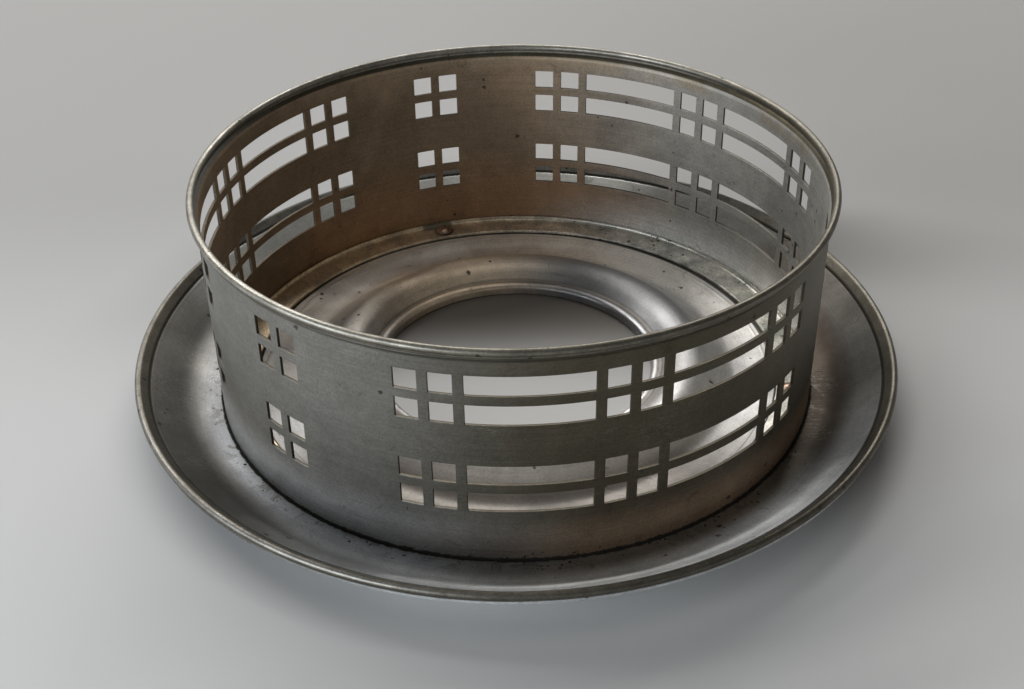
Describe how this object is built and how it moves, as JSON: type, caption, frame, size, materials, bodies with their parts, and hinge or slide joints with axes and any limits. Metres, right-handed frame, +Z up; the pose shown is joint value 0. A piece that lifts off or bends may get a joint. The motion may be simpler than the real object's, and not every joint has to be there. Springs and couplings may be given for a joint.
{
  "type": "dish warmer",
  "caption": "Round metal dish warmer: pierced gallery ring with a beaded rim, riveted to a pressed base plate with a central hole.",
  "frame": {"origin": "centre of the base on the table plane, on the ring's axis", "axes": "+Z up along the axis of the ring; -Y towards the picture's camera; +X to the right in the picture"},
  "size_m": [0.2318, 0.2318, 0.0699],
  "materials": {
    "base_plate": "worn satin plated sheet, stands for silver-plated nickel silver",
    "base_rim_wire": "worn bright plated wire",
    "gallery_wall": "tarnished satin plated sheet",
    "gallery_rim_ring": "worn bright plated wire",
    "gallery_foot_ring": "tarnished plated strip with verdigris specks",
    "rivet": "bare copper"
  },
  "bodies": {
    "root": {"base_plate": "base_plate", "base_rim_wire": "base_rim_wire", "gallery_wall": "gallery_wall", "gallery_rim_ring": "gallery_rim_ring", "gallery_foot_ring": "gallery_foot_ring", "rivet_1": "rivet", "rivet_2": "rivet", "rivet_3": "rivet"}
  },
  "joints": []
}
